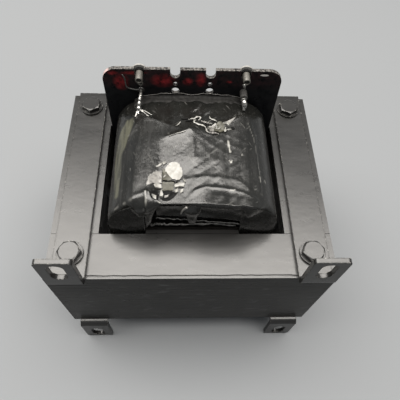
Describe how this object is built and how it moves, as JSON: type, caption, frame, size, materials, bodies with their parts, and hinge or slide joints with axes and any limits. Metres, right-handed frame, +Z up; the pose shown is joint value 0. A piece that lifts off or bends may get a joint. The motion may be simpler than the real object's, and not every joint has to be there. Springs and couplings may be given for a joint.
{
  "type": "open-frame power transformer",
  "caption": "Open-frame transformer: a tape-wrapped coil on a stacked E-I core, clamped by strap brackets with slotted mounting tabs, with a fibre terminal board behind the coil.",
  "frame": {"origin": "the floor under the middle of the overall box: the lower tabs' tips are at z = 0", "axes": "+Z up through the stack of laminations, +Y from the tabs' mounting face to the terminal board, +X to the right seen from the mounting face"},
  "size_m": [0.1142, 0.0982, 0.1166],
  "materials": {
    "core": "satin black paint over stacked laminations",
    "bracket": "satin black paint",
    "fastener": "satin black paint",
    "paper": "varnished paper",
    "winding": "dark varnished winding edges",
    "tape": "glossy black tape with tears and repairs",
    "board": "red fibre under black paint",
    "collar": "matt black",
    "terminal": "dull tinned metal",
    "lead": "bright tinned wire",
    "sleeve": "dark woven sleeve"
  },
  "bodies": {
    "root": {"bolt_back_left": "fastener", "bolt_back_right": "fastener", "bolt_front_left": "fastener", "bolt_front_right": "fastener", "coil_former": "paper", "e_packet_1": "core", "e_packet_2": "core", "e_packet_3": "core", "e_packet_4": "core", "e_packet_5": "core", "e_packet_6": "core", "e_packet_7": "core", "i_packet_1": "core", "i_packet_2": "core", "i_packet_3": "core", "i_packet_4": "core", "i_packet_5": "core", "i_packet_6": "core", "i_packet_7": "core", "inner_winding": "winding", "lead_left": "lead", "lead_right": "lead", "lead_sleeve": "sleeve", "lower_bracket_left": "bracket", "lower_bracket_right": "bracket", "nut_back_left": "fastener", "nut_back_right": "fastener", "nut_front_left": "fastener", "nut_front_right": "fastener", "outer_winding": "winding", "tape_wrap": "tape", "terminal_board": "board", "terminal_collar_left": "collar", "terminal_collar_right": "collar", "terminal_left": "terminal", "terminal_right": "terminal", "upper_bracket_left": "bracket", "upper_bracket_right": "bracket", "winding_paper": "paper"}
  },
  "joints": []
}
